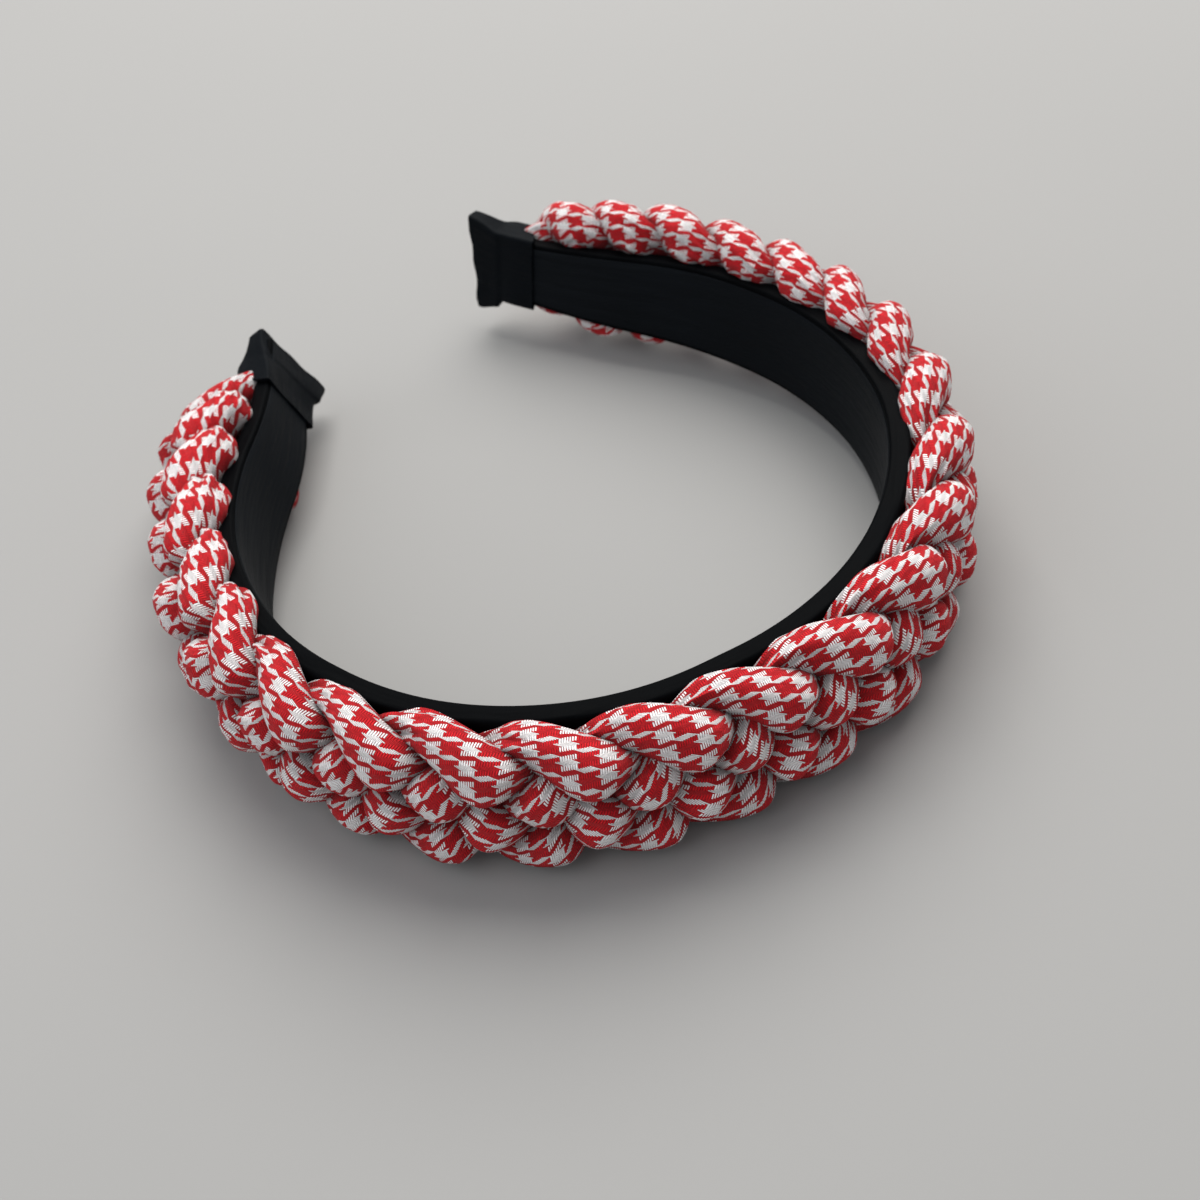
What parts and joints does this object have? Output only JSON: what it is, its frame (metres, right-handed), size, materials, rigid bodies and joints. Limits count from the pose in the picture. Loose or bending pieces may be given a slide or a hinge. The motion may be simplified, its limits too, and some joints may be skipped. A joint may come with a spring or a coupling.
{
  "type": "braided headband",
  "caption": "Sprung hair band: black satin-covered hoop with a flat braid of stuffed checked fabric tubes along its outside and wrapped ends.",
  "frame": {"origin": "middle of the crown's inner face, half way across the band's width", "axes": "+Z across the band's width, so the band lies on its side; the crown faces -Y, the arms run to +Y and the left arm is at -X"},
  "size_m": [0.155, 0.1624, 0.0323],
  "materials": {
    "hoop_plastic": "moulded, slightly glossy",
    "pad_foam": "open foam sheet",
    "black_satin": "woven satin, soft sheen",
    "check_fabric": "brushed twill with a red and off-white broken check",
    "stuffing_wadding": "loose fibre"
  },
  "bodies": {
    "crown": {"hoop_core_crown": "hoop_plastic", "foam_pad_crown": "pad_foam", "satin_cover_crown": "black_satin", "satin_lining_crown": "black_satin", "strand_1_tube_crown": "check_fabric", "strand_1_cord_crown": "stuffing_wadding", "strand_2_tube_crown": "check_fabric", "strand_2_cord_crown": "stuffing_wadding", "strand_3_tube_crown": "check_fabric", "strand_3_cord_crown": "stuffing_wadding", "strand_4_tube_crown": "check_fabric", "strand_4_cord_crown": "stuffing_wadding", "strand_5_tube_crown": "check_fabric", "strand_5_cord_crown": "stuffing_wadding"},
    "left_arm": {"hoop_core_left": "hoop_plastic", "foam_pad_left": "pad_foam", "satin_cover_left": "black_satin", "satin_lining_left": "black_satin", "end_wrap_left": "black_satin", "strand_1_tube_left": "check_fabric", "strand_1_cord_left": "stuffing_wadding", "strand_2_tube_left": "check_fabric", "strand_2_cord_left": "stuffing_wadding", "strand_3_tube_left": "check_fabric", "strand_3_cord_left": "stuffing_wadding", "strand_4_tube_left": "check_fabric", "strand_4_cord_left": "stuffing_wadding", "strand_5_tube_left": "check_fabric", "strand_5_cord_left": "stuffing_wadding"},
    "right_arm": {"hoop_core_right": "hoop_plastic", "foam_pad_right": "pad_foam", "satin_cover_right": "black_satin", "satin_lining_right": "black_satin", "end_wrap_right": "black_satin", "strand_1_tube_right": "check_fabric", "strand_1_cord_right": "stuffing_wadding", "strand_2_tube_right": "check_fabric", "strand_2_cord_right": "stuffing_wadding", "strand_3_tube_right": "check_fabric", "strand_3_cord_right": "stuffing_wadding", "strand_4_tube_right": "check_fabric", "strand_4_cord_right": "stuffing_wadding", "strand_5_tube_right": "check_fabric", "strand_5_cord_right": "stuffing_wadding"}
  },
  "joints": [
    {"name": "left_arm_flex", "type": "hinge", "parent": "crown", "child": "left_arm", "pos_m": [-0.0511, 0.02183, 0], "axis": [0, 0, 1], "range_deg": [-5, 15], "stiffness_Nm_per_rad": 1.2},
    {"name": "right_arm_flex", "type": "hinge", "parent": "crown", "child": "right_arm", "pos_m": [0.0511, 0.02183, 0], "axis": [0, 0, -1], "range_deg": [-5, 15], "stiffness_Nm_per_rad": 1.2}
  ]
}
